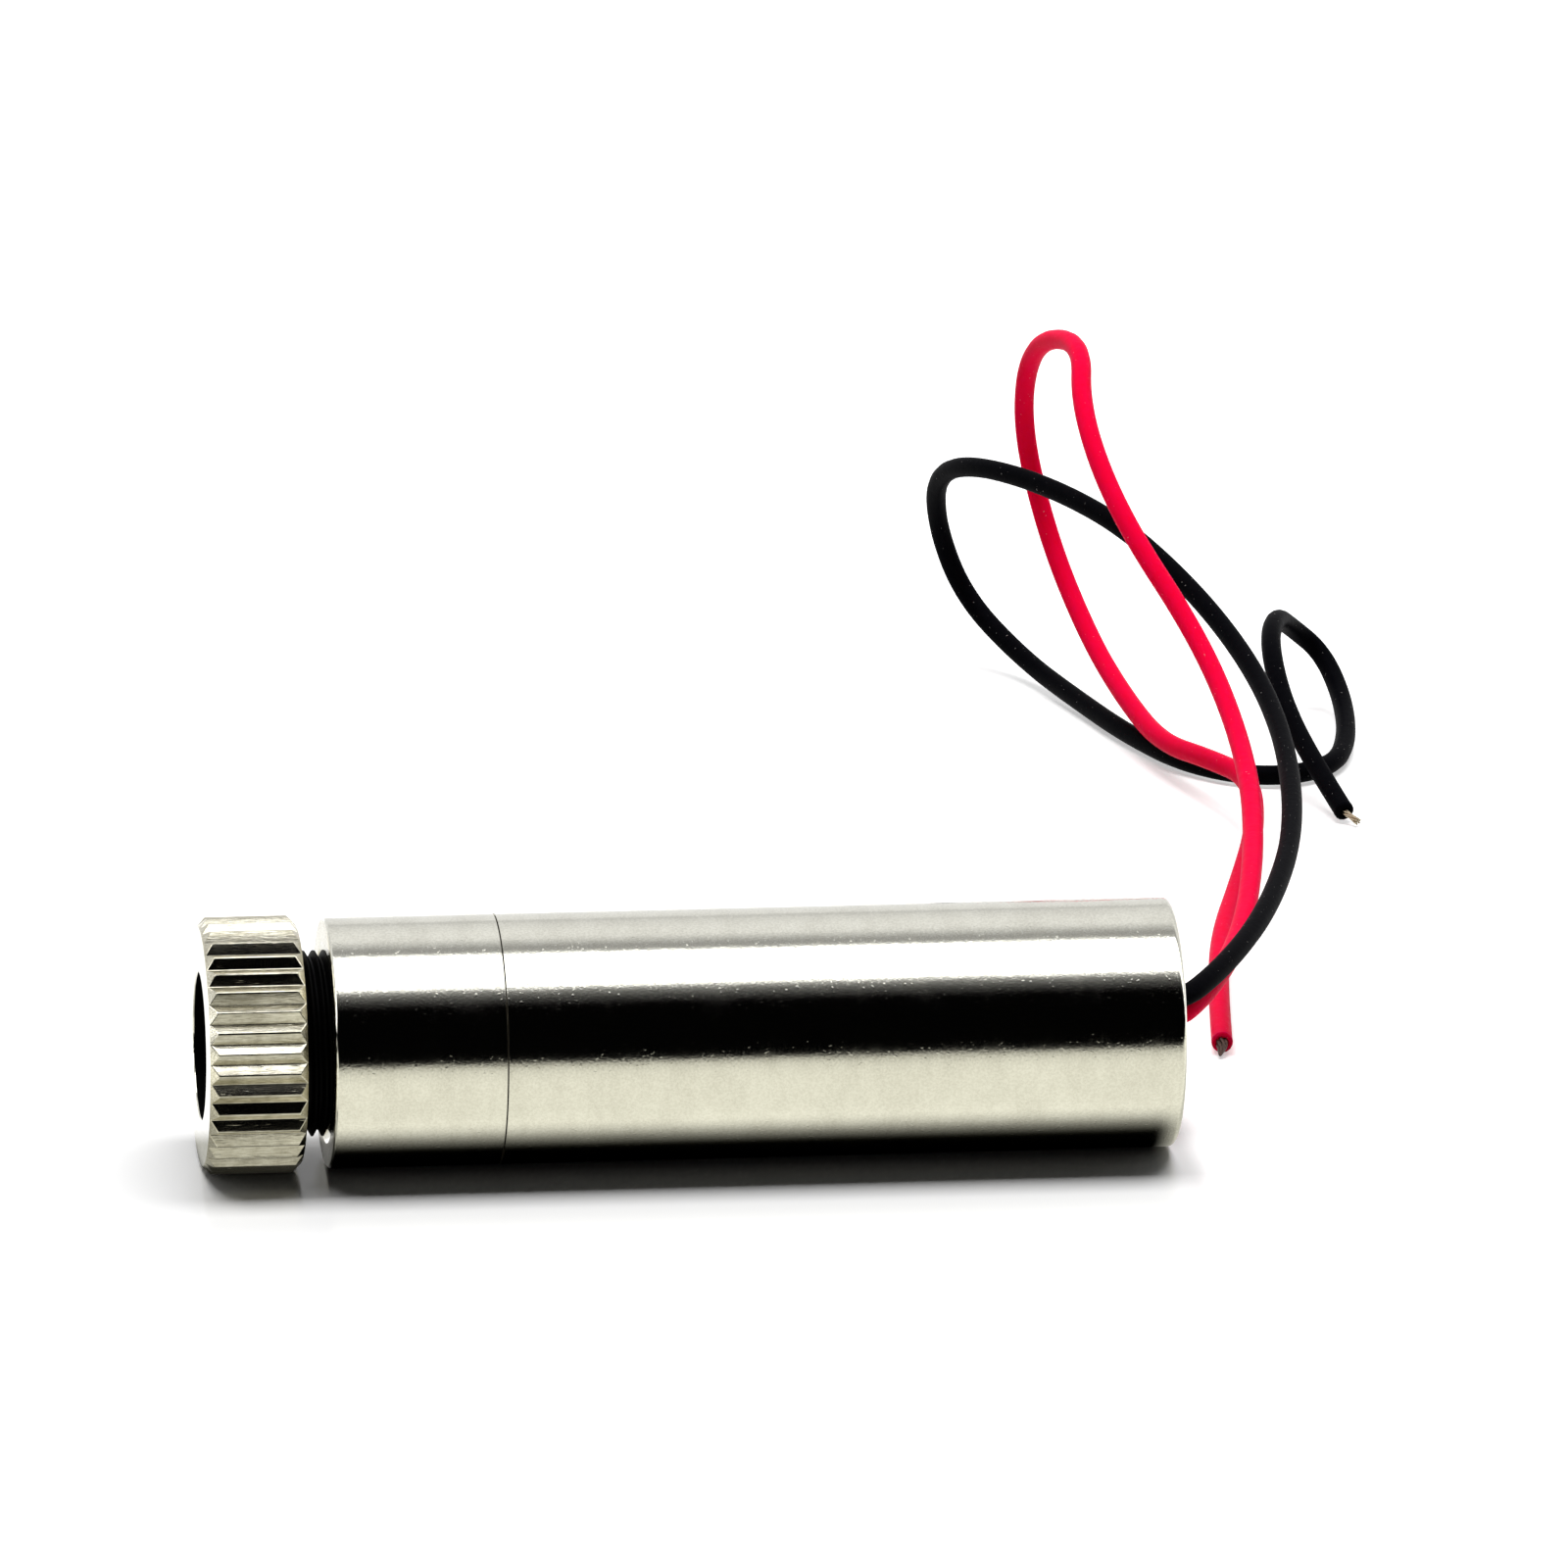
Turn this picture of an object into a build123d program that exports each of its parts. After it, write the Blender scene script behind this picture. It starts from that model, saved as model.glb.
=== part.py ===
from build123d import *
import os
from math import asin, cos, degrees, pi, radians, sin, sqrt, tan

# Laser diode module with a screw focusing head and two flying leads, in millimetres
# The optical axis is X and the beam leaves towards minus X, Z is up
# The origin is on the axis, midway along the housing

# Housing
housing_radius = 6.0
front_length = 8.2
tube_length = 32.6
front_chamfer = 0.15
seam_chamfer = 0.07
rear_round_share = 0.8
tube_wall = 0.8
tube_bore_chamfer = 0.3
spigot_length = 5.0
spigot_clearance = 0.01
spigot_wall = 0.69

# Focusing head, one turned piece
head_overhang = 0.12
head_length = 4.68
head_gap = 1.3
head_chamfer = 0.43
knurl_teeth = 38
knurl_depth = 0.41
knurl_flat = 0.16
barrel_length = 8.0
barrel_wall = 0.95
barrel_chamfer = 0.25
thread_clearance = 0.05
thread_mouth_chamfer = 0.3
head_rim_width = 2.59
aperture_depth = 3.08
aperture_chamfer = 0.05
stop_lip = 0.6
stop_thickness = 1.4

# Collimating lens and its retaining ring
lens_clearance = 0.04
lens_rim_length = 1.7
lens_rim_width = 0.71
lens_dome_height = 1.05
lens_ring_length = 1.5
lens_ring_wall = 0.86
lens_ring_slot_width = 0.8
lens_ring_slot_depth = 0.5

# Thrust washer and anti-backlash spring
washer_thickness = 0.4
washer_rim_width = 1.1
washer_side_clearance = 0.1
washer_face_clearance = 0.02
spring_gap = 3.8
spring_wire_radius = 0.2
spring_side_clearance = 0.25
spring_turns = 3.5
spring_seat_clearance = 0.01

# Diode holder and clamp ring
holder_length = 4.8
holder_clearance = 0.01
holder_front_wall = 0.9
clamp_length = 1.4
clamp_hole_radius = 1.9
can_clearance = 0.03

# Laser diode can
flange_radius = 2.8
flange_thickness = 1.2
cap_radius = 2.2
cap_height = 2.3
cap_wall = 0.2
cap_hole_radius = 0.9
window_radius = 1.4
window_thickness = 0.25
post_width = 1.2
post_length = 1.5
post_height = 0.8
submount_size = 0.8
submount_thickness = 0.2
chip_length = 0.3
chip_width = 0.3
chip_thickness = 0.12
monitor_size = 0.5
monitor_thickness = 0.15
monitor_gap = 0.05
pin_radius = 0.225
pin_circle_radius = 1.0
pin_inner_length = 0.8
pin_outer_length = 6.2
seal_radius = 0.45

# Driver board and insulating sleeve
board_thickness = 0.8
board_gap = 1.1
sleeve_thickness = 0.2
sleeve_clearance = 0.05
sleeve_front_gap = 0.3
sleeve_rear_overhang = 1.0
sleeve_rear_gap = 0.18
board_side_clearance = 0.03

# Parts on the board
chip_body_length = 2.9
chip_body_width = 1.6
chip_body_height = 1.1
chip_leg_count = 3
chip_leg_pitch = 0.95
chip_leg_width = 0.4
chip_leg_thickness = 0.16
chip_leg_reach = 0.6
chip_place_share = 0.373
resistor_length = 2.0
resistor_width = 1.25
resistor_height = 0.5
resistor_place_share = 0.185
resistor_spacing = 2.6
capacitor_length = 3.2
capacitor_width = 1.6
capacitor_height = 1.2
capacitor_place_share = 0.605
rectifier_length = 2.7
rectifier_width = 1.6
rectifier_height = 1.2
rectifier_place_share = 0.664
pin_solder_radius = 0.6
lead_solder_radius = 0.75
solder_film = 0.05
solder_setback = 1.3

# Rear potting
potting_length = 3.4
potting_recess = 3.2
potting_clearance = 0.01

# Leads
lead_radius = 0.525
conductor_radius = 0.25
conductor_inner_length = 2.6
lead_start_gap = 0.38
lead_exit_inset = 0.2
red_end_length = 0.3
black_end_length = 2.1
strand_radius = 0.17
arc_run_share = 0.45

# Places along the axis that follow from the sizes
front_x = -(front_length + tube_length) / 2
seam_x = front_x + front_length
rear_x = seam_x + tube_length
tube_bore_radius = housing_radius - tube_wall
rear_round = rear_round_share * (tube_wall - tube_bore_chamfer)
spigot_radius = tube_bore_radius - spigot_clearance
thread_bore_radius = spigot_radius - spigot_wall
head_rear_x = front_x - head_gap
head_front_x = head_rear_x - head_length
barrel_end_x = head_rear_x + barrel_length
stop_front_x = head_front_x + aperture_depth
lens_seat_x = stop_front_x + stop_thickness
lens_rear_x = lens_seat_x + lens_rim_length
head_radius = housing_radius + head_overhang
aperture_radius = head_radius - head_rim_width
barrel_radius = thread_bore_radius - thread_clearance
lens_bore_radius = barrel_radius - barrel_wall
stop_radius = lens_bore_radius - stop_lip
lens_radius = lens_bore_radius - lens_clearance
lens_dome_radius = lens_radius - lens_rim_width
lens_ring_hole_radius = lens_radius - lens_ring_wall
washer_front_x = barrel_end_x + washer_face_clearance
washer_rear_x = washer_front_x + washer_thickness
holder_front_x = washer_rear_x + spring_gap
holder_rear_x = holder_front_x + holder_length
flange_front_x = holder_front_x + holder_front_wall
flange_rear_x = flange_front_x + flange_thickness
cap_front_x = flange_front_x - cap_height
can_bore_radius = flange_radius + can_clearance
potting_rear_x = rear_x - potting_recess
potting_front_x = potting_rear_x - potting_length
sleeve_end_x = potting_front_x - sleeve_rear_gap
board_front_x = holder_rear_x + board_gap
board_rear_x = sleeve_end_x - sleeve_rear_overhang
board_length = board_rear_x - board_front_x
board_top_z = board_thickness / 2
sleeve_outer_radius = tube_bore_radius - sleeve_clearance
sleeve_inner_radius = sleeve_outer_radius - sleeve_thickness
board_edge_radius = sleeve_inner_radius - board_side_clearance
board_half_width = sqrt(board_edge_radius ** 2 - board_top_z ** 2)
pin_upper_z = board_top_z + solder_film + pin_radius
pin_upper_y = sqrt(pin_circle_radius ** 2 - pin_upper_z ** 2)
pin_end_x = flange_rear_x + pin_outer_length
lead_start_x = board_rear_x + lead_start_gap
lead_exit_x = rear_x - lead_exit_inset

# Routes of the leads, points chosen by hand, from inside the potting to the cut end
red_route = [
    (lead_start_x, 0.5, -0.65), (lead_exit_x, 0.5, -0.5),
    (23.1, 5.0, 0.0), (26.9, 17.0, -0.2), (29.7, 32.0, 0.9),
    (30.7, 44.0, 2.2), (30.0, 53.0, 5.2), (26.9, 61.0, 9.8), (25.6, 68.0, 13.5), (26.2, 75.0, 15.9),
    (24.9, 84.0, 14.4), (25.3, 89.0, 7.9), (26.9, 88.0, 1.7), (28.3, 82.0, -2.3), (29.3, 75.0, -3.9),
    (30.2, 68.5, -4.5), (31.8, 62.5, -3.8), (33.2, 57.5, -3.5), (33.2, 52.5, -4.8), (30.9, 44.5, -5.4),
    (28.5, 34.5, -5.4), (26.8, 25.0, -5.4), (25.3, 14.9, -5.4),
]
black_route = [
    (lead_start_x, -0.4, 0.65), (lead_exit_x, -0.4, 0.6),
    (24.0, 5.0, 1.1), (28.1, 16.0, 1.2), (31.6, 31.0, 1.3),
    (33.6, 49.0, 1.9), (32.4, 60.0, 4.2), (28.7, 67.0, 7.2), (25.3, 74.0, 7.9), (21.7, 81.0, 7.6),
    (20.3, 87.3, 5.5), (21.1, 91.5, 1.6), (23.0, 92.0, -2.5), (25.7, 88.0, -5.0), (27.7, 80.5, -5.4),
    (29.2, 73.8, -5.4), (31.4, 67.4, -5.4), (35.0, 64.3, -5.4), (38.8, 66.0, -5.4), (40.9, 71.6, -5.4),
    (41.8, 78.0, -4.7), (41.3, 82.0, -2.7), (39.3, 81.8, -0.5), (37.2, 77.0, 0.8), (36.0, 71.2, 0.2),
    (36.2, 66.6, -1.7), (37.1, 62.5, -3.6), (38.1, 58.2, -5.4),
]
red_end_direction = (-0.15, -1.0, 0.0)
black_end_direction = (0.3, -1.0, -0.03)


def rod(radius, start_x, end_x, y=0, z=0):
    """A cylinder along X."""
    bar = Cylinder(radius, end_x - start_x, align=(Align.CENTER, Align.CENTER, Align.MIN))
    return Pos(start_x, y, z) * Rot(0, 90, 0) * bar


def turned(outline):
    """A solid turned about X from points of x and radius."""
    return revolve(make_face(Polyline(*outline, close=True)), axis=Axis.X)


def block(start_x, length, width, height, y, base_z):
    """A box standing on base_z, centred on y."""
    return Pos(start_x, y, base_z) * Box(length, width, height, align=(Align.MIN, Align.CENTER, Align.MIN))


def front_housing():
    """The front ring with its thread bore and the spigot that enters the tube."""
    spigot_end_x = seam_x + spigot_length
    return turned([
        (front_x, thread_bore_radius + thread_mouth_chamfer),
        (front_x, housing_radius - front_chamfer),
        (front_x + front_chamfer, housing_radius),
        (seam_x - seam_chamfer, housing_radius),
        (seam_x, housing_radius - seam_chamfer),
        (seam_x, spigot_radius),
        (spigot_end_x, spigot_radius),
        (spigot_end_x, thread_bore_radius),
        (front_x + thread_mouth_chamfer, thread_bore_radius),
    ])


def rear_tube():
    """The long plain tube, rounded at its rear rim."""
    shell = turned([
        (seam_x, tube_bore_radius),
        (seam_x, housing_radius - seam_chamfer),
        (seam_x + seam_chamfer, housing_radius),
        (rear_x, housing_radius),
        (rear_x, tube_bore_radius + tube_bore_chamfer),
        (rear_x - tube_bore_chamfer, tube_bore_radius),
    ])
    rim = shell.edges().filter_by(GeomType.CIRCLE).sort_by(SortBy.RADIUS)[-2:].sort_by(Axis.X)[-1]
    return fillet(rim, rear_round)


def knurl_star():
    """The knurl's section: a tooth with a narrow flat crest for each pitch."""
    half_flat = degrees(asin(knurl_flat / 2 / head_radius))
    root_radius = head_radius - knurl_depth
    corners = []
    for tooth in range(knurl_teeth):
        middle = 360 * tooth / knurl_teeth
        valley = middle + 180 / knurl_teeth
        for radius, turn in ((head_radius, middle - half_flat), (head_radius, middle + half_flat), (root_radius, valley)):
            corners.append((radius * cos(radians(turn)), radius * sin(radians(turn))))
    return make_face(Polyline(*corners, close=True))


def focus_head():
    """The knurled head and its barrel, bored for the beam and for the lens."""
    teeth = extrude(Plane.YZ.offset(head_front_x) * knurl_star(), head_length)
    blank = turned([
        (head_front_x, 0),
        (head_front_x, head_radius - head_chamfer),
        (head_front_x + head_chamfer, head_radius),
        (head_rear_x - head_chamfer, head_radius),
        (head_rear_x, head_radius - head_chamfer),
        (head_rear_x, 0),
    ])
    barrel = turned([
        (head_rear_x, 0),
        (head_rear_x, barrel_radius),
        (barrel_end_x - barrel_chamfer, barrel_radius),
        (barrel_end_x, barrel_radius - barrel_chamfer),
        (barrel_end_x, 0),
    ])
    bore = turned([
        (head_front_x, 0),
        (head_front_x, aperture_radius + aperture_chamfer),
        (head_front_x + aperture_chamfer, aperture_radius),
        (stop_front_x, aperture_radius),
        (stop_front_x, stop_radius),
        (lens_seat_x, stop_radius),
        (lens_seat_x, lens_bore_radius),
        (barrel_end_x, lens_bore_radius),
        (barrel_end_x, 0),
    ])
    return (teeth & blank) + barrel - bore


def collimating_lens():
    """A glass lens with a domed front that looks through the stop."""
    dome_sphere_radius = (lens_dome_radius ** 2 + lens_dome_height ** 2) / (2 * lens_dome_height)
    dome_front_x = lens_seat_x - lens_dome_height
    sphere = Pos(dome_front_x + dome_sphere_radius, 0, 0) * Sphere(dome_sphere_radius)
    dome = sphere & rod(lens_dome_radius, dome_front_x, lens_seat_x)
    return dome + rod(lens_radius, lens_seat_x, lens_rear_x)


def lens_ring():
    """The ring behind the lens, slotted across for a spanner."""
    ring_end_x = lens_rear_x + lens_ring_length
    ring = rod(lens_radius, lens_rear_x, ring_end_x)
    ring -= rod(lens_ring_hole_radius, lens_rear_x, ring_end_x)
    slot_front_x = ring_end_x - lens_ring_slot_depth
    slot = block(slot_front_x, lens_ring_slot_depth, 2 * lens_radius, lens_ring_slot_width, 0, -lens_ring_slot_width / 2)
    return ring - slot


def focus_washer():
    """The slip washer between the turning barrel and the spring."""
    outer_radius = thread_bore_radius - washer_side_clearance
    hole_radius = outer_radius - washer_rim_width
    return rod(outer_radius, washer_front_x, washer_rear_x) - rod(hole_radius, washer_front_x, washer_rear_x)


def focus_spring():
    """The round-wire spring that takes up the play in the thread."""
    inset = spring_wire_radius + spring_seat_clearance
    coil_radius = thread_bore_radius - spring_side_clearance - spring_wire_radius
    coil_length = spring_gap - 2 * inset
    helix = Helix(pitch=coil_length / spring_turns, height=coil_length, radius=coil_radius)
    wire = sweep(Plane(origin=helix @ 0, z_dir=helix % 0) * Circle(spring_wire_radius), path=helix, is_frenet=True)
    return Pos(washer_rear_x + inset, 0, 0) * Rot(0, 90, 0) * wire


def diode_holder():
    """The metal plug that carries the diode and takes its heat."""
    plug = rod(thread_bore_radius - holder_clearance, holder_front_x, holder_rear_x)
    plug -= rod(cap_radius + can_clearance, holder_front_x, flange_front_x)
    return plug - rod(can_bore_radius, flange_front_x, holder_rear_x)


def diode_clamp_ring():
    """The ring pressed in behind the diode's flange."""
    end_x = flange_rear_x + clamp_length
    return rod(flange_radius, flange_rear_x, end_x) - rod(clamp_hole_radius, flange_rear_x, end_x)


def diode_header():
    """The flange of the can with its mounting post, bored for two sealed pins."""
    header = rod(flange_radius, flange_front_x, flange_rear_x)
    post_top_z = -(chip_thickness / 2 + submount_thickness)
    header += block(flange_front_x - post_length, post_length, post_width, post_height, 0, post_top_z - post_height)
    for side in (-1, 1):
        header -= rod(seal_radius, flange_front_x, flange_rear_x, side * pin_upper_y, pin_upper_z)
    return header


def diode_cap():
    """The thin can over the chip, with a hole for the window."""
    cap = rod(cap_radius, cap_front_x, flange_front_x)
    cap -= rod(cap_radius - cap_wall, cap_front_x + cap_wall, flange_front_x)
    return cap - rod(cap_hole_radius, cap_front_x, cap_front_x + cap_wall)


def diode_window():
    """The glass disc behind the cap's hole."""
    window_front_x = cap_front_x + cap_wall
    return rod(window_radius, window_front_x, window_front_x + window_thickness)


def chip_submount():
    """The ceramic plate on the post."""
    top_z = -chip_thickness / 2
    start_x = flange_front_x - post_length
    return block(start_x, submount_size, submount_size, submount_thickness, 0, top_z - submount_thickness)


def laser_chip():
    """The laser chip, its light leaving on the axis."""
    start_x = flange_front_x - post_length
    return block(start_x, chip_length, chip_width, chip_thickness, 0, -chip_thickness / 2)


def monitor_photodiode():
    """The monitor chip on the flange, behind the laser chip."""
    start_x = flange_front_x - monitor_thickness
    top_z = pin_upper_z - pin_radius - monitor_gap
    return block(start_x, monitor_thickness, monitor_size, monitor_size, 0, top_z - monitor_size)


def lead_seals():
    """The two glass beads round the insulated pins."""
    beads = []
    for side in (-1, 1):
        bead = rod(seal_radius, flange_front_x, flange_rear_x, side * pin_upper_y, pin_upper_z)
        bead -= rod(pin_radius, flange_front_x, flange_rear_x, side * pin_upper_y, pin_upper_z)
        beads.append(bead)
    return beads[0] + beads[1]


def diode_pins():
    """Two sealed pins that lie on the board and the case pin below it."""
    inner_end_x = flange_front_x - pin_inner_length
    pins = rod(pin_radius, flange_rear_x, pin_end_x, 0, -pin_circle_radius)
    for side in (-1, 1):
        pins += rod(pin_radius, inner_end_x, pin_end_x, side * pin_upper_y, pin_upper_z)
    return pins


def driver_board():
    """The driver board, held by its long edges in the sleeve."""
    return block(board_front_x, board_length, 2 * board_half_width, board_thickness, 0, -board_top_z)


def insulating_sleeve():
    """The thin sleeve between the board and the tube."""
    start_x = holder_rear_x + sleeve_front_gap
    return rod(sleeve_outer_radius, start_x, sleeve_end_x) - rod(sleeve_inner_radius, start_x, sleeve_end_x)


def driver_chip():
    """The driver chip with three bent legs on each side."""
    middle_x = board_front_x + chip_place_share * board_length
    start_x = middle_x - chip_body_length / 2
    lift = chip_leg_thickness / 2
    leg_z = board_top_z + chip_body_height / 2
    body = block(start_x, chip_body_length, chip_body_width, chip_body_height - lift, 0, board_top_z + lift)
    for side in (-1, 1):
        knee_y = side * (chip_body_width / 2 + chip_leg_reach / 2)
        for step in range(chip_leg_count):
            leg_x = middle_x + (step - (chip_leg_count - 1) / 2) * chip_leg_pitch - chip_leg_width / 2
            arm_y = side * (chip_body_width / 2 + chip_leg_reach / 4)
            arm = block(leg_x, chip_leg_width, chip_leg_reach / 2, chip_leg_thickness, arm_y, leg_z)
            riser_height = leg_z + chip_leg_thickness - board_top_z
            riser = block(leg_x, chip_leg_width, chip_leg_thickness, riser_height, knee_y, board_top_z)
            foot_y = side * (chip_body_width / 2 + 3 * chip_leg_reach / 4)
            foot = block(leg_x, chip_leg_width, chip_leg_reach / 2, chip_leg_thickness, foot_y, board_top_z)
            body += arm + riser + foot
    return body


def board_resistors():
    """Two chip resistors side by side near the diode."""
    start_x = board_front_x + resistor_place_share * board_length - resistor_length / 2
    pair = []
    for side in (-1, 1):
        y = side * resistor_spacing
        pair.append(block(start_x, resistor_length, resistor_width, resistor_height, y, board_top_z))
    return pair[0] + pair[1]


def smoothing_capacitor():
    """The chip capacitor across the supply."""
    start_x = board_front_x + capacitor_place_share * board_length - capacitor_length / 2
    return block(start_x, capacitor_length, capacitor_width, capacitor_height, resistor_spacing, board_top_z)


def protection_diode():
    """The reverse-voltage diode on the underside."""
    start_x = board_front_x + rectifier_place_share * board_length - rectifier_length / 2
    return block(start_x, rectifier_length, rectifier_width, rectifier_height, 0, -board_top_z - rectifier_height)


def inner_conductor(route):
    """The bare inner end of a lead, on the film of solder over its pad."""
    start_x, y, z = route[0]
    rest_z = (board_top_z + solder_film + conductor_radius) * (1 if z > 0 else -1)
    return rod(conductor_radius, start_x - conductor_inner_length, start_x, y, rest_z)


def solder_dome(x, y, side, radius):
    """A solder joint: a dome on the board's upper or lower face."""
    base_z = side * board_top_z
    keep = block(x - radius, 2 * radius, 2 * radius, radius, y, base_z if side > 0 else base_z - radius)
    return (Pos(x, y, base_z) * Sphere(radius)) & keep


def solder_joints():
    """The solder round the three pins and the two leads."""
    pin_x = pin_end_x - solder_setback
    lead_x = board_rear_x - solder_setback
    pins = diode_pins()
    joints = []
    for side in (-1, 1):
        joints.append(solder_dome(pin_x, side * pin_upper_y, 1, pin_solder_radius) - pins)
    case_radius = pin_circle_radius + pin_radius - board_top_z
    joints.append(solder_dome(pin_x, 0, -1, case_radius) - pins)
    for route, side in ((red_route, -1), (black_route, 1)):
        joints.append(solder_dome(lead_x, route[0][1], side, lead_solder_radius) - inner_conductor(route))
    group = joints[0]
    for joint in joints[1:]:
        group += joint
    return group


def lead_path(route, name):
    """Straight runs joined by arcs as large as the runs allow."""
    points = [Vector(*point) for point in route]
    radii = []
    for before, corner, after in zip(points, points[1:], points[2:]):
        turn = (corner - before).get_angle(after - corner)
        run = min((corner - before).length, (after - corner).length)
        radii.append(arc_run_share * run / tan(radians(turn / 2)))
    path = FilletPolyline(*points, radius=radii)
    print(name, "length", round(path.length, 1), "radii", [round(radius, 1) for radius in radii])
    return path


def lead(route, name):
    """The insulated lead."""
    path = lead_path(route, name)
    tube = sweep(Plane(origin=path @ 0, z_dir=path % 0) * Circle(lead_radius), path=path)
    print(name, "volume ratio", round(tube.volume / (pi * lead_radius ** 2 * path.length), 4))
    return tube


def run_rod(radius, start, end):
    """A cylinder from one point to another."""
    line = Line(start, end)
    return sweep(Plane(origin=start, z_dir=line % 0) * Circle(radius), path=line)


def outer_conductor(route, direction, length, radius):
    """The bare end of a lead beyond its insulation."""
    tip = Vector(*route[-1])
    return run_rod(radius, tip, tip + Vector(*direction).normalized() * length)


def red_conductor():
    """Both bare ends of the red lead."""
    return inner_conductor(red_route) + outer_conductor(red_route, red_end_direction, red_end_length, conductor_radius)


def black_conductor():
    """Both bare ends of the black lead."""
    outer = outer_conductor(black_route, black_end_direction, black_end_length, strand_radius)
    return inner_conductor(black_route) + outer


def rear_potting():
    """The potting that closes the tube, with the leads through it."""
    plug = rod(tube_bore_radius - potting_clearance, potting_front_x, potting_rear_x)
    for route in (red_route, black_route):
        plug -= run_rod(lead_radius, Vector(*route[0]), Vector(*route[1]))
    return plug


pieces = {
    "front_housing": front_housing(),
    "rear_tube": rear_tube(),
    "focus_head": focus_head(),
    "collimating_lens": collimating_lens(),
    "lens_ring": lens_ring(),
    "focus_washer": focus_washer(),
    "focus_spring": focus_spring(),
    "diode_holder": diode_holder(),
    "diode_clamp_ring": diode_clamp_ring(),
    "diode_header": diode_header(),
    "diode_cap": diode_cap(),
    "diode_window": diode_window(),
    "chip_submount": chip_submount(),
    "laser_chip": laser_chip(),
    "monitor_photodiode": monitor_photodiode(),
    "lead_seals": lead_seals(),
    "diode_pins": diode_pins(),
    "driver_board": driver_board(),
    "driver_chip": driver_chip(),
    "board_resistors": board_resistors(),
    "smoothing_capacitor": smoothing_capacitor(),
    "protection_diode": protection_diode(),
    "solder_joints": solder_joints(),
    "insulating_sleeve": insulating_sleeve(),
    "rear_potting": rear_potting(),
    "red_lead": lead(red_route, "red lead"),
    "black_lead": lead(black_route, "black lead"),
    "red_conductor": red_conductor(),
    "black_conductor": black_conductor(),
}

os.makedirs("parts", exist_ok=True)
for name, shape in pieces.items():
    export_step(shape, "parts/" + name + ".step")
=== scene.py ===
from math import atan2, cos, exp, hypot, pi, radians, sin

import bpy
from mathutils import Matrix, Vector


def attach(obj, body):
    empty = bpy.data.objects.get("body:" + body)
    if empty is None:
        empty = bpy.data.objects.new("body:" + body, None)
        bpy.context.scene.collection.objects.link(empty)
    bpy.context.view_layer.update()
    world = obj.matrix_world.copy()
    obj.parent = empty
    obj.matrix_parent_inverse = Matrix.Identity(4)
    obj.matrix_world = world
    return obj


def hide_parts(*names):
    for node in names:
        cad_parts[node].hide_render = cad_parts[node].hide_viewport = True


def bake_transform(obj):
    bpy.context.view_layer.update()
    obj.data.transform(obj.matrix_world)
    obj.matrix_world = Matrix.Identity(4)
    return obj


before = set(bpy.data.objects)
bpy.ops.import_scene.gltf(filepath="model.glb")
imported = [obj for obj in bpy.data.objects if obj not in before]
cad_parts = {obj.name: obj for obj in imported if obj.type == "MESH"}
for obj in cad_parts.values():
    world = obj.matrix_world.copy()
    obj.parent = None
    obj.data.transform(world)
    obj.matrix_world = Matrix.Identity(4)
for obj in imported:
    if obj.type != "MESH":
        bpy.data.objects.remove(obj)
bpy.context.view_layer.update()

bpy.ops.object.select_all(action="DESELECT")

# Sizes in metres: the solids' own, and those of the fine edges that only this script draws
mm = 0.001
housing_radius = 6.0 * mm
housing_sides = 192
tube_bore_radius = 5.2 * mm
front_x = -20.4 * mm
front_chamfer = 0.1 * mm
seam_x = -12.2 * mm
seam_gap = 0.015 * mm
seam_edge = 0.035 * mm
rear_x = 20.4 * mm
spigot_end_x = -7.2 * mm
thread_bore_radius = 4.5 * mm
head_front_x = -26.38 * mm
head_rear_x = -21.7 * mm
barrel_end_x = -13.7 * mm
barrel_radius = 4.45 * mm
knurl_teeth = 38
knurl_peak_radius = 6.18 * mm
knurl_root_radius = 5.78 * mm
knurl_end_radius = 5.74 * mm
knurl_chamfer = 0.43 * mm
knurl_crest_cut = 0.11 * mm
knurl_turn = radians(-1.85)
aperture_radius = 3.53 * mm
aperture_mouth = 0.05 * mm
stop_radius = 2.9 * mm
stop_front_x = -23.3 * mm
lens_seat_x = -21.9 * mm
lens_rear_x = -20.2 * mm
lens_bore_radius = 3.5 * mm
lens_radius = 3.46 * mm
lens_dome_radius = 2.75 * mm
lens_dome_height = 1.05 * mm
thread_pitch = 0.5 * mm
thread_root_radius = 4.14 * mm
spring_front_x = -13.28 * mm
spring_rear_x = -9.48 * mm
spring_radius = 4.05 * mm
spring_wire_radius = 0.2 * mm
spring_half_turns = 7
potting_front_x = 13.8 * mm
potting_rear_x = 17.2 * mm
potting_radius = 5.19 * mm
lead_radius = 0.525 * mm
conductor_radius = 0.25 * mm
red_exit = (0.5 * mm, -0.56 * mm)
black_exit = (-0.4 * mm, 0.62 * mm)

# The radius at which a turned piece closes on the axis, and how near to a place still counts as there
pole = 0.002 * mm
tolerance = 0.01 * mm

# Routes of the leads in millimetres: the solids' points, a few of them moved to follow the photograph
red_route = [
    (13.0, 0.5, -0.65), (20.2, 0.5, -0.5), (23.1, 5.0, 0.0), (26.7, 17.0, -0.2), (29.5, 32.0, 0.9),
    (30.55, 44.0, 2.2), (29.75, 53.0, 5.1), (26.65, 61.0, 9.7), (25.6, 68.0, 13.5), (26.7, 75.0, 15.65),
    (25.35, 84.0, 13.5), (25.45, 89.0, 7.9), (26.9, 88.0, 1.7), (28.3, 82.0, -2.3), (29.3, 75.0, -3.9),
    (30.2, 68.5, -4.5), (31.8, 62.5, -3.8), (33.2, 57.5, -3.5), (32.75, 52.5, -4.8), (30.7, 44.5, -5.4),
    (28.2, 34.5, -5.4), (26.6, 25.0, -5.4), (25.3, 14.9, -5.4),
]
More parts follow.
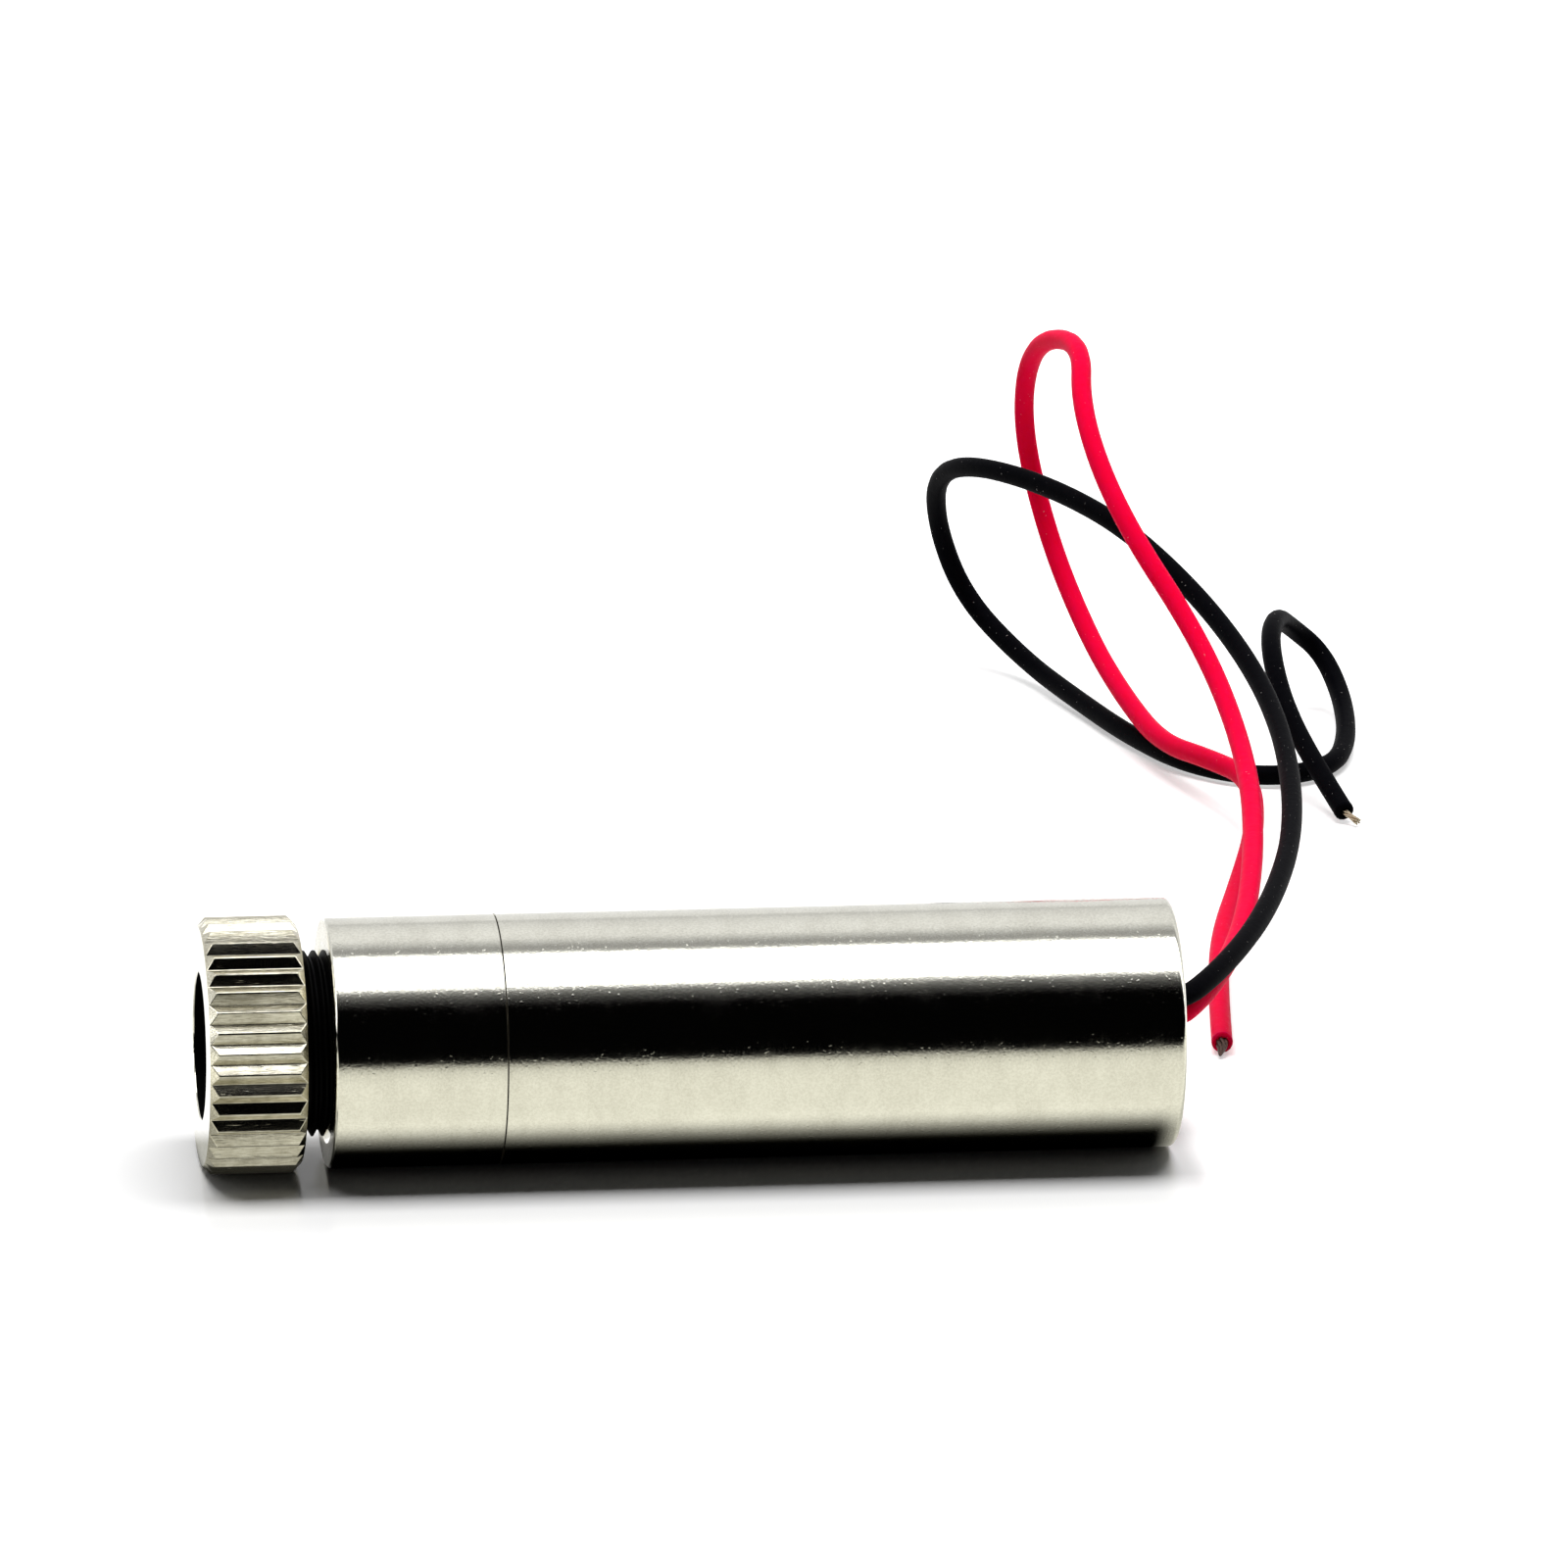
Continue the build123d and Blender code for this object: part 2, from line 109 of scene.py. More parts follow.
black_route = [
    (13.0, -0.4, 0.65), (20.2, -0.4, 0.6), (23.85, 5.0, 1.25), (27.85, 16.0, 1.3), (31.4, 31.0, 1.3),
    (33.35, 49.0, 1.9), (32.1, 60.0, 4.05), (28.5, 67.0, 7.1), (25.3, 74.0, 7.9), (21.9, 81.0, 7.6),
    (20.75, 87.3, 5.5), (21.4, 91.5, 1.6), (23.0, 92.0, -2.5), (25.7, 88.0, -5.0), (27.7, 80.5, -5.4),
    (29.2, 73.8, -5.4), (31.4, 67.4, -5.4), (35.0, 64.3, -5.4), (38.8, 66.0, -5.4), (40.5, 71.4, -5.4),
    (41.3, 78.0, -4.9), (40.7, 81.4, -3.2), (38.8, 80.6, -1.5), (37.4, 76.6, 0.1), (36.2, 71.2, 0.1),
    (36.2, 66.6, -1.8), (37.0, 62.5, -3.7), (38.1, 57.4, -5.4),
]


def photo_camera():
    """The camera at the photograph's viewing angle, far off with a long lens."""
    azimuth, elevation, roll = radians(-7.31), radians(15.0), radians(0.555)
    distance, focal_length = 0.8, 384.19
    aim_right, aim_up = 13.70, 12.30
    back = Vector((sin(azimuth) * cos(elevation), -cos(azimuth) * cos(elevation), sin(elevation)))
    level_right = Vector((cos(azimuth), sin(azimuth), 0))
    level_up = back.cross(level_right)
    right = level_right * cos(roll) + level_up * sin(roll)
    up = level_up * cos(roll) - level_right * sin(roll)
    target = Vector((seam_x, 0, 0)) + (aim_right * level_right + aim_up * level_up) * mm
    facing = Matrix((right, up, back)).transposed().to_4x4()
    optics = bpy.data.cameras.new("photo_camera")
    optics.lens = focal_length
    optics.sensor_width = 36.0
    optics.clip_start = 0.01
    optics.clip_end = 50.0
    camera = bpy.data.objects.new("photo_camera", optics)
    bpy.context.collection.objects.link(camera)
    camera.matrix_world = Matrix.Translation(target + distance * back) @ facing
    bpy.context.scene.camera = camera


def grey(level):
    """A grey of one level, as a colour."""
    return level, level, level, 1


class Value:
    """A number that a shader works out, for use in sums and comparisons."""

    def __init__(self, finish, socket):
        self.finish = finish
        self.socket = socket

    def __add__(self, other):
        return self.finish.math("ADD", self, other)

    def __radd__(self, other):
        return self.finish.math("ADD", other, self)

    def __sub__(self, other):
        return self.finish.math("SUBTRACT", self, other)

    def __rsub__(self, other):
        return self.finish.math("SUBTRACT", other, self)

    def __mul__(self, other):
        return self.finish.math("MULTIPLY", self, other)

    def __rmul__(self, other):
        return self.finish.math("MULTIPLY", other, self)

    def __lt__(self, other):
        return self.finish.math("LESS_THAN", self, other)

    def __gt__(self, other):
        return self.finish.math("GREATER_THAN", self, other)


class Finish:
    """A node tree with its shader, for a material or for the world."""

    def __init__(self, tree, shader_type, output_type):
        self.tree = tree
        self.tree.nodes.clear()
        self.shader = self.node(shader_type)
        self.node(output_type, None, {"Surface": self.shader.outputs[0]})

    def node(self, node_type, settings=None, inputs=None):
        """A new node: its settings first, then the values or links of its sockets."""
        node = self.tree.nodes.new(node_type)
        for name, setting in (settings or {}).items():
            if name == "stops":
                self.set_stops(node.color_ramp, setting)
            else:
                setattr(node, name, setting)
        for name, value in (inputs or {}).items():
            self.feed(node.inputs[name], value)
        return node

    def set_stops(self, ramp, stops):
        """Gives a ramp its stops, each a place from 0 to 1 and a colour."""
        while len(ramp.elements) > 1:
            ramp.elements.remove(ramp.elements[-1])
        ramp.elements[0].position, ramp.elements[0].color = stops[0]
        for position, colour in stops[1:]:
            ramp.elements.new(position).color = colour

    def feed(self, socket, value):
        """Links a value to a socket, or writes a plain number or colour into it."""
        if isinstance(value, Value):
            value = value.socket
        if isinstance(value, bpy.types.NodeSocket):
            self.tree.links.new(value, socket)
        else:
            socket.default_value = value

    def set(self, **inputs):
        """Feeds the shader's sockets, named with underscores for spaces."""
        for name, value in inputs.items():
            self.feed(self.shader.inputs[name.replace("_", " ")], value)

    def value(self, node, output=0):
        """One of a node's outputs, for use in sums."""
        return Value(self, node.outputs[output])

    def math(self, operation, first, second):
        """A sum or comparison of two values, or of a value and a plain number."""
        return self.value(self.node("ShaderNodeMath", {"operation": operation}, {0: first, 1: second}))

    def rays(self):
        """Masks for the camera's rays, for mirrored rays, and for rays not yet scattered by anything matt."""
        path = self.node("ShaderNodeLightPath")
        unscattered = self.value(path, "Diffuse Depth") < 0.5
        return self.value(path, "Is Camera Ray"), self.value(path, "Is Glossy Ray"), unscattered

    def place(self, stretch=(1, 1, 1)):
        """Object coordinates, stretched."""
        coordinates = self.node("ShaderNodeTexCoord").outputs["Object"]
        return self.node("ShaderNodeMapping", None, {"Vector": coordinates, "Scale": stretch}).outputs[0]

    def noise(self, place, size, detail=2.0, roughness=0.5):
        """Noise from 0 to 1 with spots of the given size in metres."""
        inputs = {"Vector": place, "Scale": 1 / size, "Detail": detail, "Roughness": roughness}
        return self.value(self.node("ShaderNodeTexNoise", None, inputs), "Fac")

    def rise(self, value, low, high, start=0.0, end=1.0):
        """A smooth step up from 0 to 1 while a value goes from low to high."""
        inputs = {"Value": value, "From Min": low, "From Max": high, "To Min": start, "To Max": end}
        return self.value(self.node("ShaderNodeMapRange", {"interpolation_type": "SMOOTHSTEP"}, inputs))

    def fall(self, value, low, high):
        """A smooth step down from 1 to 0 while a value goes from low to high."""
        return self.rise(value, low, high, 1.0, 0.0)

    def tone(self, value, tones):
        """A level of grey that follows a value from 0 to 1 through tones, each a place and a level."""
        stops = [(place, grey(level)) for place, level in tones]
        return self.value(self.node("ShaderNodeValToRGB", {"stops": stops}, {0: value}))

    def mixed(self, factor, first, second):
        """A colour between two colours, which a Mix node has as sockets 6 and 7, and as output 2."""
        node = self.node("ShaderNodeMix", {"data_type": "RGBA"}, {0: factor, 6: first, 7: second})
        return node.outputs[2]

    def bump(self, height, depth):
        """A normal from a height that runs from 0 to 1 and stands for a depth in metres."""
        inputs = {"Height": height, "Distance": depth, "Strength": 1.0}
        return self.node("ShaderNodeBump", None, inputs).outputs[0]


def material(name):
    """A new material with a principled shader."""
    made = bpy.data.materials.new(name)
    made.use_nodes = True
    return made, Finish(made.node_tree, "ShaderNodeBsdfPrincipled", "ShaderNodeOutputMaterial")


def nickel(name, colour, stain, roughness, stretch, grain_depth, scratch_depth):
    """Bright nickel over turned brass: a mirror with a fine grain, short scratches across it and smears."""
    made, finish = material(name)
    speck_share, ripple_depth = 0.85, 0.9
    smear_stain, grain_stain = 0.45, 0.55
    grain = finish.noise(finish.place(stretch), size=0.075 * mm, roughness=0.6)
    spots = finish.noise(finish.place(stretch), size=0.13 * mm, detail=1.0)
    specks = finish.rise(spots, low=0.66, high=0.76)
    scratches = finish.rise(finish.noise(finish.place((1, 0.09, 0.09)), size=0.1 * mm), low=0.6, high=0.72)
    smears = finish.noise(finish.place((1, 0.5, 0.5)), size=1.6 * mm, detail=4.0, roughness=0.7)
    ripple = finish.noise(finish.place((0.5, 1, 1)), size=0.9 * mm, detail=1.0)
    stained = smear_stain * finish.rise(smears, low=0.3, high=0.7)
    tint = stained + grain_stain * finish.rise(grain, low=0.3, high=0.7)
    grained = grain_depth * (grain + speck_share * specks)
    relief = grained + scratch_depth * scratches + ripple_depth * ripple
    finish.set(
        Base_Color=finish.mixed(tint, colour, stain),
        Metallic=1.0,
        Roughness=roughness + 0.05 * grain + 0.06 * finish.rise(smears, low=0.45, high=0.75),
        Normal=finish.bump(relief, depth=0.004 * mm),
    )
    return made


def black_oxide(name):
    """Blackened, oily thread."""
    made, finish = material(name)
    grain = finish.noise(finish.place(), size=0.2 * mm, detail=3.0)
    finish.set(
        Base_Color=finish.mixed(grain, (0.0005, 0.0005, 0.0006, 1), (0.002, 0.002, 0.0022, 1)),
        Roughness=0.4 + 0.2 * grain,
        Specular_IOR_Level=0.03,
        Normal=finish.bump(grain, depth=0.01 * mm),
    )
    return made


def insulation(name, colour, shade, roughness, sheen, glow_through):
    """Soft extruded plastic with a faint mottle and dust."""
    made, finish = material(name)
    dust_colour = (0.75, 0.72, 0.68, 1)
    skin = finish.noise(finish.place(), size=0.5 * mm, detail=3.0, roughness=0.6)
    dust = finish.rise(finish.noise(finish.place(), size=0.15 * mm, detail=1.0), low=0.75, high=0.8)
    finish.set(
        Base_Color=finish.mixed(0.35 * dust, finish.mixed(skin, colour, shade), dust_colour),
        Roughness=roughness + 0.15 * skin + 0.2 * dust,
        Specular_IOR_Level=sheen,
        Subsurface_Weight=glow_through,
        Subsurface_Radius=(1.0, 0.3, 0.4),
        Subsurface_Scale=0.6 * mm,
        Normal=finish.bump(skin, depth=0.02 * mm),
    )
    return made


def plain_metal(name, colour, shade, roughness, size):
    """Drawn or plated metal with slight stains and fine grain."""
    made, finish = material(name)
    stain = finish.noise(finish.place(), size, detail=4.0, roughness=0.6)
    finish.set(
        Base_Color=finish.mixed(stain, colour, shade),
        Metallic=1.0,
        Roughness=roughness + 0.12 * stain,
        Normal=finish.bump(stain, depth=0.01 * mm),
    )
    return made


def dielectric(name, colour, shade, roughness, size, depth):
    """Moulded, fired or laminated material with a fine mottle."""
    made, finish = material(name)
    mottle = finish.noise(finish.place(), size, detail=4.0, roughness=0.6)
    finish.set(
        Base_Color=finish.mixed(mottle, colour, shade),
        Roughness=roughness + 0.15 * mottle,
        Normal=finish.bump(mottle, depth),
    )
    return made


def clear_glass(name, tint, roughness):
    """Coated optical glass."""
    made, finish = material(name)
    haze = finish.noise(finish.place(), size=0.4 * mm)
    finish.set(
        Base_Color=finish.mixed(haze, tint, (0.97, 0.98, 1.0, 1)),
        Roughness=roughness + 0.02 * haze,
        Transmission_Weight=1.0,
        IOR=1.52,
        Coat_Weight=0.3,
    )
    return made


def cad_finish(made, *nodes):
    """Gives carried-over solids their material."""
    for node in nodes:
        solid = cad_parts[node]
        for slot in solid.material_slots:
            slot.material = made


def finished(piece, name, body, slot, *nodes):
    """Names a piece, lets it ride on its body and lets it stand for its solids."""
    piece.name = name
    piece.data.name = name
    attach(piece, body)
    if nodes:
        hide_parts(*nodes)
    return piece


def pick(piece):
    """Makes a piece the active one and the only one that is selected."""
    bpy.ops.object.select_all(action="DESELECT")
    piece.select_set(True)
    bpy.context.view_layer.objects.active = piece


def settled(piece):
    """Moves a piece's place and turn into its mesh."""
    pick(piece)
    bpy.ops.object.transform_apply(location=True, rotation=True, scale=True)


def merged(distance):
    """Merges the doubled points of the mesh in edit mode and turns its faces outwards."""
    bpy.ops.mesh.select_all(action="SELECT")
    bpy.ops.mesh.remove_doubles(threshold=distance)
    bpy.ops.mesh.normals_make_consistent(inside=False)


def turned(outline, sides, closed=True):
    """A piece turned about X: a ring drawn out through points of x and radius."""
    x, radius = outline[0]
    upright = (0, pi / 2, 0)
    bpy.ops.mesh.primitive_circle_add(vertices=sides, radius=radius, location=(x, 0, 0), rotation=upright)
    piece = bpy.context.object
    settled(piece)
    bpy.ops.object.mode_set(mode="EDIT")
    bpy.ops.mesh.select_all(action="SELECT")
    for next_x, next_radius in outline[1:] + ([outline[0]] if closed else []):
        bpy.ops.mesh.extrude_region_move(TRANSFORM_OT_translate={"value": (next_x - x, 0, 0)})
        ratio = next_radius / radius
        bpy.ops.transform.resize(value=(1, ratio, ratio), center_override=(next_x, 0, 0))
        x, radius = next_x, next_radius
    merged(0.005 * mm)
    bpy.ops.object.mode_set(mode="OBJECT")
    return piece


def eased(piece, width, segments=2, angle=30, smooth=30):
    """Breaks a piece's sharp edges and smooths its shading."""
    bevel = piece.modifiers.new("eased_edges", "BEVEL")
    bevel.width = width
    bevel.segments = segments
    bevel.limit_method = "ANGLE"
    bevel.angle_limit = radians(angle)
    pick(piece)
    bpy.ops.object.modifier_apply(modifier=bevel.name)
    bpy.ops.object.shade_smooth_by_angle(angle=radians(smooth))
    bpy.ops.object.select_all(action="DESELECT")


def evened(piece):
    """Lets large faces rule the shading, so that a cylinder between eased edges mirrors straight lines."""
    weighted = piece.modifiers.new("even_shading", "WEIGHTED_NORMAL")
    weighted.keep_sharp = True
    weighted.weight = 100
    pick(piece)
    bpy.ops.object.modifier_apply(modifier=weighted.name)
    bpy.ops.object.select_all(action="DESELECT")


def seam_dirt(piece, grime):
    """Puts the grime of the fine joint on a plated piece's edge at the seam."""
    piece.data.materials.append(grime)
    grime_slot = 1
    for face in piece.data.polygons:
        beside_seam = abs(face.center.x - seam_x) < seam_edge - 0.001 * mm
        if beside_seam and abs(hypot(face.center.y, face.center.z) - housing_radius) < seam_edge:
            face.material_index = grime_slot


def front_ring(plate, grime, knurl):
    """The front ring of the housing, with its mouth chamfer and the spigot behind the seam."""
    mouth_chamfer = 0.3 * mm
    spigot_radius = tube_bore_radius - 0.01 * mm
    piece = turned([
        (front_x, thread_bore_radius + mouth_chamfer),
        (front_x, housing_radius - front_chamfer),
        (front_x + front_chamfer, housing_radius),
        (seam_x - seam_edge, housing_radius),
        (seam_x - seam_gap, housing_radius - seam_edge + seam_gap),
        (seam_x - seam_gap, spigot_radius),
        (spigot_end_x, spigot_radius),
        (spigot_end_x, thread_bore_radius),
        (front_x + mouth_chamfer, thread_bore_radius),
    ], sides=housing_sides)
    piece.data.materials.append(plate)
    seam_dirt(piece, grime)
    piece.data.materials.append(knurl)
    front_face_slot = 2
    for face in piece.data.polygons:
        if face.center.x < front_x + tolerance:
            face.material_index = front_face_slot
    eased(piece, width=0.012 * mm)
    evened(piece)
    return finished(piece, "front_ring", "housing", "nickel_plate", "front_housing")


def long_tube(plate, grime):
    """The plain tube behind the seam, rounded at its rear rim."""
    round_radius = 0.3 * mm
    inner_chamfer = 0.3 * mm
    steps = 6
    rim = []
    for step in range(steps + 1):
        turn = step / steps * pi / 2
        inset = round_radius * (1 - cos(turn))
        rim.append((rear_x - round_radius * (1 - sin(turn)), housing_radius - inset))
    piece = turned([
        (seam_x + seam_gap, tube_bore_radius),
        (seam_x + seam_gap, housing_radius - seam_edge + seam_gap),
        (seam_x + seam_edge, housing_radius),
        *rim,
        (rear_x, tube_bore_radius + inner_chamfer),
        (rear_x - inner_chamfer, tube_bore_radius),
    ], sides=housing_sides)
    piece.data.materials.append(plate)
    seam_dirt(piece, grime)
    eased(piece, width=0.012 * mm)
    evened(piece)
    return finished(piece, "long_tube", "housing", "nickel_plate", "rear_tube")


def select_where(piece, wanted):
    """Selects a piece's vertices by their place, from edit mode."""
    bpy.ops.mesh.select_mode(type="VERT")
    bpy.ops.mesh.select_all(action="DESELECT")
    bpy.ops.object.mode_set(mode="OBJECT")
    for vertex in piece.data.vertices:
        vertex.select = wanted(vertex.co)
    bpy.ops.object.mode_set(mode="EDIT")
    bpy.ops.mesh.select_mode(type="VERT")


def on_crest(point):
    """True for every second line along the knurl, where its crests run."""
    pitch = 2 * pi / knurl_teeth
    turn = atan2(point.z, point.y) % pitch
    return min(turn, pitch - turn) < pitch / 8


def raised_crests(piece, valley_inset):
    """Lifts every second line of the head to a crest, with longer end chamfers and a rounded top."""
    crest_rise = knurl_peak_radius / knurl_root_radius
    middle_x = (head_front_x + head_rear_x) / 2
    head_length = head_rear_x - head_front_x
    bpy.context.view_layer.objects.active = piece
    bpy.ops.object.mode_set(mode="EDIT")
    for side in (-1, 1):
        root_x = middle_x + side * (head_length / 2 - valley_inset)
        select_where(piece, lambda point: abs(point.x - root_x) < tolerance and on_crest(point)
                     and hypot(point.y, point.z) > knurl_root_radius - tolerance)
        bpy.ops.transform.translate(value=(-side * (knurl_chamfer - valley_inset), 0, 0))
        bpy.ops.transform.resize(value=(1, crest_rise, crest_rise), center_override=(root_x, 0, 0))
    select_where(piece, lambda point: hypot(point.y, point.z) > knurl_peak_radius - tolerance)
    bpy.ops.mesh.bevel(offset=knurl_crest_cut, segments=4, profile=0.5, affect="EDGES")
    bpy.ops.mesh.select_all(action="DESELECT")
    bpy.ops.object.mode_set(mode="OBJECT")


def head_finishes(piece, knurl, black, plate):
    """Gives the head's bore and barrel the black, its front face the plain plate and the rest the knurl's."""
    for made in (knurl, black, plate):
        piece.data.materials.append(made)
    knurl_slot, black_slot, plate_slot = range(3)
    for face in piece.data.polygons:
        reach = hypot(face.center.y, face.center.z)
        bore = face.center.x > head_front_x + aperture_mouth and reach < aperture_radius + 0.1 * mm
        barrel = face.center.x > head_rear_x + 0.001 * mm
        front_face = face.center.x < head_front_x + aperture_mouth
        face.material_index = black_slot if bore or barrel else plate_slot if front_face else knurl_slot


def knurled_head(knurl, plate, black):
    """The focusing head: straight knurl with chamfered ends, bored for the beam, on its threaded barrel."""
    valley_inset = knurl_root_radius - knurl_end_radius
    barrel_chamfer = 0.2 * mm
    two_lines_a_tooth = 2 * knurl_teeth
    piece = turned([
        (barrel_end_x, lens_bore_radius),
        (lens_seat_x, lens_bore_radius),
        (lens_seat_x, stop_radius),
        (stop_front_x, stop_radius),
        (stop_front_x, aperture_radius),
        (head_front_x + aperture_mouth, aperture_radius),
        (head_front_x, aperture_radius + aperture_mouth),
        (head_front_x, knurl_end_radius),
        (head_front_x + valley_inset, knurl_root_radius),
        (head_rear_x - valley_inset, knurl_root_radius),
        (head_rear_x, knurl_end_radius),
        (head_rear_x, thread_root_radius),
        (barrel_end_x - barrel_chamfer, thread_root_radius),
        (barrel_end_x, thread_root_radius - barrel_chamfer),
    ], sides=two_lines_a_tooth)
    raised_crests(piece, valley_inset)
    head_finishes(piece, knurl, black, plate)
    piece.rotation_euler.x = knurl_turn
    settled(piece)
    eased(piece, width=0.02 * mm, segments=1, angle=28, smooth=18)
    ridge = thread_ridge(black)
    pick(piece)
    ridge.select_set(True)
    bpy.ops.object.join()
    bpy.ops.object.select_all(action="DESELECT")
    return finished(piece, "knurled_head", "focus_barrel", "nickel_plate", "focus_head")


def wound(piece, angle, advance, times, steps):
    """Draws a flat section round the axis as a screw and closes both its ends."""
    screw = piece.modifiers.new("winding", "SCREW")
    screw.axis = "X"
    screw.angle = angle
    screw.screw_offset = advance
    screw.iterations = times
    screw.steps = screw.render_steps = steps
    screw.use_smooth_shade = False
    bpy.ops.object.modifier_apply(modifier=screw.name)
    bpy.ops.object.mode_set(mode="EDIT")
    bpy.ops.mesh.select_mode(type="EDGE")
    bpy.ops.mesh.select_all(action="SELECT")
    bpy.ops.mesh.remove_doubles(threshold=0.001 * mm)
    bpy.ops.mesh.select_all(action="DESELECT")
    bpy.ops.mesh.select_non_manifold(extend=False)
    bpy.ops.mesh.fill()
    bpy.ops.mesh.select_all(action="SELECT")
    bpy.ops.mesh.normals_make_consistent(inside=False)
    bpy.ops.object.mode_set(mode="OBJECT")


def thread_ridge(black):
    """The right-hand thread on the barrel, its section drawn round as a screw."""
    turns = 15
    start_x = head_rear_x + 0.25 * mm
    half_base = 0.235 * mm
    half_crest = 0.035 * mm
    base_radius = thread_root_radius - 0.05 * mm
    bpy.ops.mesh.primitive_plane_add(size=1, location=(0, 0, 0))
    ridge = bpy.context.object
    corners = [
        (-half_base, base_radius), (half_base, base_radius),
        (half_crest, barrel_radius), (-half_crest, barrel_radius),
    ]
    loop = [ridge.data.loops[k].vertex_index for k in ridge.data.polygons[0].loop_indices]
    for index, (x, radius) in zip(loop, corners):
        ridge.data.vertices[index].co = (start_x + x, radius, 0)
    bpy.ops.object.mode_set(mode="EDIT")
    bpy.ops.mesh.select_all(action="SELECT")
    bpy.ops.mesh.delete(type="ONLY_FACE")
    bpy.ops.object.mode_set(mode="OBJECT")
    wound(ridge, angle=2 * pi, advance=thread_pitch, times=turns, steps=64)
    ridge.data.materials.append(black)
    return ridge


def lens(glass):
    """The collimating lens: a dome looking through the stop, on a flat rim."""
    sphere_radius = (lens_dome_radius ** 2 + lens_dome_height ** 2) / (2 * lens_dome_height)
    dome_centre_x = lens_seat_x - lens_dome_height + sphere_radius
    rings = 12
    dome = []
    for step in range(rings + 1):
        radius = max(lens_dome_radius * (1 - step / rings), pole)
        dome.append((dome_centre_x - (sphere_radius ** 2 - radius ** 2) ** 0.5, radius))
    rim = [(lens_rear_x, pole), (lens_rear_x, lens_radius), (lens_seat_x, lens_radius)]
    piece = turned(rim + dome, sides=96, closed=False)
    piece.data.materials.append(glass)
    eased(piece, width=0.02 * mm)
    return finished(piece, "lens_glass", "focus_barrel", "lens_glass", "collimating_lens")


def lead(name, route, skin):
    """An insulated lead along its route, as one smooth curve."""
    curve = bpy.data.curves.new(name, "CURVE")
    curve.dimensions = "3D"
    spline = curve.splines.new("NURBS")
    spline.points.add(len(route) - 1)
    for point, place in zip(spline.points, route):
        point.co = (*[part * mm for part in place], 1)
    spline.order_u = 3
    spline.use_endpoint_u = True
    spline.resolution_u = 10
    curve.bevel_depth = lead_radius
    curve.bevel_resolution = 5
    curve.use_fill_caps = True
    curve.materials.append(skin)
    piece = bpy.data.objects.new(name, curve)
    bpy.context.collection.objects.link(piece)
    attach(piece, "housing")
    return piece


def aimed(piece, place, way):
    """Turns a piece made along X to lie along a direction from a place."""
    piece.matrix_world = Matrix.Translation(place) @ way.to_track_quat("X", "Z").to_matrix().to_4x4()
    settled(piece)


def cut_rim(name, slot, skin, place, way):
    """The rounded edge of the insulation where the lead is cut, a hair wider than the lead behind it."""
    outer = lead_radius + 0.006 * mm
    reach = 0.12 * mm
    piece = turned([
        (-0.2 * mm, lead_radius - 0.02 * mm),
        (-0.16 * mm, outer),
        (0.3 * reach, outer - 0.03 * mm),
        (0.75 * reach, 0.84 * outer),
        (reach, 0.7 * outer),
        (0.9 * reach, 0.58 * outer),
        (-0.12 * mm, 0.5 * outer),
    ], sides=48)
    piece.data.materials.append(skin)
    aimed(piece, Vector(place) * mm, Vector(way))
    eased(piece, width=0.02 * mm, angle=50, smooth=60)
    return finished(piece, name, "housing", slot)


def strands(name, metal, node, conductor_place, steps, wire_radius):
    """The twisted strands of a cut lead, and its conductor where the lead starts inside the housing."""
    curve = bpy.data.curves.new(name, "CURVE")
    curve.dimensions = "3D"
    ahead = Vector(steps[-1][0]) - Vector(steps[0][0])
    across = ahead.cross(Vector((0, 0, 1))).normalized()
    over = across.cross(ahead).normalized()
    outer_strands = 6
    lines = []
    for strand in range(outer_strands + 1):
        line = []
        for place, spread, turn, thickness in steps:
            angle = radians(turn + 360 / outer_strands * strand)
            reach = spread if strand < outer_strands else 0
            line.append((Vector(place) + reach * (cos(angle) * across + sin(angle) * over), thickness))
        lines.append(line)
    conductor_x = (10.4 * mm, 11.7 * mm, 13.0 * mm)
    conductor_thickness = conductor_radius / wire_radius
    lines.append([(Vector((x, *conductor_place)) / mm, conductor_thickness) for x in conductor_x])
    for line in lines:
        spline = curve.splines.new("NURBS")
        spline.points.add(len(line) - 1)
        for point, (place, thickness) in zip(spline.points, line):
            point.co = (*(place * mm), 1)
            point.radius = thickness
        spline.order_u = 3
        spline.use_endpoint_u = True
        spline.resolution_u = 6
    curve.bevel_depth = wire_radius
    curve.bevel_resolution = 2
    curve.use_fill_caps = True
    piece = bpy.data.objects.new(name, curve)
    bpy.context.collection.objects.link(piece)
    pick(piece)
    bpy.ops.object.convert(target="MESH")
    piece = bpy.context.object
    bpy.ops.object.mode_set(mode="EDIT")
    merged(0.001 * mm)
    bpy.ops.object.mode_set(mode="OBJECT")
    bpy.ops.object.shade_smooth_by_angle(angle=radians(50))
    bpy.ops.object.select_all(action="DESELECT")
    piece.data.materials.clear()
    piece.data.materials.append(metal)
    return finished(piece, name, "housing", "tinned_copper", node)


def coil_spring(steel):
    """The spring that presses the washer against the barrel, its wire drawn round as a screw."""
    start_x = spring_front_x + spring_wire_radius
    advance = (spring_rear_x - spring_front_x - 2 * spring_wire_radius) / spring_half_turns
    start = (start_x, spring_radius, 0)
    bpy.ops.mesh.primitive_circle_add(vertices=12, radius=spring_wire_radius, location=start)
    piece = bpy.context.object
    settled(piece)
    wound(piece, angle=pi, advance=advance, times=spring_half_turns, steps=32)
    bpy.ops.object.shade_smooth_by_angle(angle=radians(50))
    bpy.ops.object.select_all(action="DESELECT")
    piece.data.materials.append(steel)
    piece.name = "coil_spring"
    piece.data.name = "coil_spring"
    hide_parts("focus_spring")
    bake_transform(piece)
    return piece


